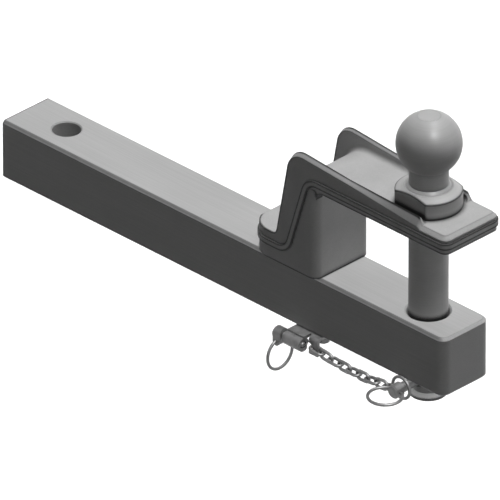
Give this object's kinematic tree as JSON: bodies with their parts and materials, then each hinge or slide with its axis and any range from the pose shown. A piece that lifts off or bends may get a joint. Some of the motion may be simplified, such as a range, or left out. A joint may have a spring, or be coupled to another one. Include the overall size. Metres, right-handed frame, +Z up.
{
  "type": "tractor drawbar hitch",
  "caption": "Square drawbar with a forged bracket on top, a removable ball pin through both, and a chained locking pin below.",
  "frame": {"origin": "on the rear pin bore's axis at half the bar's height", "axes": "+X along the bar from the rear bore to the ball, +Y across the bar, +Z up along the rear bore and the ball pin"},
  "size_m": [0.4708, 0.0899, 0.2547],
  "materials": {
    "bar_steel": "thin matt grey primer on drawn square bar",
    "forged_steel": "matt grey primer on a shot-blasted forging",
    "turned_steel": "turned and phosphated, dull grey",
    "plated_steel": "zinc-plated"
  },
  "bodies": {
    "bar": {"drawbar": "bar_steel", "hitch_bracket": "forged_steel", "bracket_screw_rear": "plated_steel", "bracket_screw_front": "plated_steel", "anchor_strap": "plated_steel", "strap_washer_rear": "plated_steel", "strap_washer_front": "plated_steel", "strap_screw_rear": "plated_steel", "strap_screw_front": "plated_steel"},
    "ball_pin": {"ball_pin": "turned_steel"},
    "locking_pin": {"locking_pin": "plated_steel"},
    "locking_ring": {"locking_ring": "plated_steel"},
    "stowed_pin": {"stowed_pin": "plated_steel"},
    "stowed_ring": {"stowed_ring": "plated_steel"},
    "chain_link_01": {"chain_link_01": "plated_steel"},
    "chain_link_02": {"chain_link_02": "plated_steel"},
    "chain_link_03": {"chain_link_03": "plated_steel"},
    "chain_link_04": {"chain_link_04": "plated_steel"},
    "chain_link_05": {"chain_link_05": "plated_steel"},
    "chain_link_06": {"chain_link_06": "plated_steel"},
    "chain_link_07": {"chain_link_07": "plated_steel"},
    "chain_link_08": {"chain_link_08": "plated_steel"},
    "chain_link_09": {"chain_link_09": "plated_steel"},
    "chain_end_ring": {"chain_end_ring": "plated_steel"}
  },
  "joints": [
    {"name": "ball_pin_lift", "type": "slide", "parent": "bar", "child": "ball_pin", "axis": [0, 0, 1], "range_m": [0, 0.0009]},
    {"name": "locking_pin_pull", "type": "slide", "parent": "ball_pin", "child": "locking_pin", "axis": [0, -1, 0], "range_m": [0, 0.034]},
    {"name": "locking_ring_swing", "type": "hinge", "parent": "locking_pin", "child": "locking_ring", "pos_m": [0.381, -0.034, -0.0302], "axis": [1, 0, 0], "range_deg": [-90, 92]},
    {"name": "stowed_pin_pull", "type": "slide", "parent": "bar", "child": "stowed_pin", "axis": [-1, 0, 0], "range_m": [0, 0.018]},
    {"name": "stowed_ring_swing", "type": "hinge", "parent": "stowed_pin", "child": "stowed_ring", "pos_m": [0.25855, -0.0328, -0.03748], "axis": [0, 1, 0], "range_deg": [-75, 95]},
    {"name": "chain_sag", "type": "hinge", "parent": "bar", "child": "chain_link_01", "pos_m": [0.2866, -0.0277, -0.03406], "axis": [0, 1, 0], "range_deg": [-5, 6]},
    {"name": "chain_bend_02", "type": "hinge", "parent": "chain_link_01", "child": "chain_link_02", "pos_m": [0.29744, -0.0277, -0.03559], "axis": [0, 1, 0], "range_deg": [-2, 1.75]},
    {"name": "chain_bend_03", "type": "hinge", "parent": "chain_link_02", "child": "chain_link_03", "pos_m": [0.30699, -0.0277, -0.03659], "axis": [0, 1, 0], "range_deg": [-2, 1.75]},
    {"name": "chain_bend_04", "type": "hinge", "parent": "chain_link_03", "child": "chain_link_04", "pos_m": [0.31657, -0.0277, -0.03726], "axis": [0, 1, 0], "range_deg": [-2, 1.75]},
    {"name": "chain_bend_05", "type": "hinge", "parent": "chain_link_04", "child": "chain_link_05", "pos_m": [0.32616, -0.0277, -0.03759], "axis": [0, 1, 0], "range_deg": [-2, 1.75]},
    {"name": "chain_bend_06", "type": "hinge", "parent": "chain_link_05", "child": "chain_link_06", "pos_m": [0.33576, -0.0277, -0.03759], "axis": [0, 1, 0], "range_deg": [-2, 1.75]},
    {"name": "chain_bend_07", "type": "hinge", "parent": "chain_link_06", "child": "chain_link_07", "pos_m": [0.34535, -0.0277, -0.03726], "axis": [0, 1, 0], "range_deg": [-2, 1.75]},
    {"name": "chain_bend_08", "type": "hinge", "parent": "chain_link_07", "child": "chain_link_08", "pos_m": [0.35493, -0.0277, -0.03659], "axis": [0, 1, 0], "range_deg": [-2, 1.75]},
    {"name": "chain_bend_09", "type": "hinge", "parent": "chain_link_08", "child": "chain_link_09", "pos_m": [0.36448, -0.0277, -0.03559], "axis": [0, 1, 0], "range_deg": [-2, 1.75]},
    {"name": "end_ring_turn", "type": "hinge", "parent": "chain_link_09", "child": "chain_end_ring", "pos_m": [0.37399, -0.0277, -0.03425], "axis": [0, 1, 0], "range_deg": [-5.5, 6.5]}
  ],
  "couplings": [
    {"joint": "chain_bend_02", "follows": "chain_sag", "ratio": -0.25},
    {"joint": "chain_bend_03", "follows": "chain_sag", "ratio": -0.25},
    {"joint": "chain_bend_04", "follows": "chain_sag", "ratio": -0.25},
    {"joint": "chain_bend_05", "follows": "chain_sag", "ratio": -0.25},
    {"joint": "chain_bend_06", "follows": "chain_sag", "ratio": -0.25},
    {"joint": "chain_bend_07", "follows": "chain_sag", "ratio": -0.25},
    {"joint": "chain_bend_08", "follows": "chain_sag", "ratio": -0.25},
    {"joint": "chain_bend_09", "follows": "chain_sag", "ratio": -0.25},
    {"joint": "end_ring_turn", "follows": "chain_sag", "ratio": 1}
  ]
}
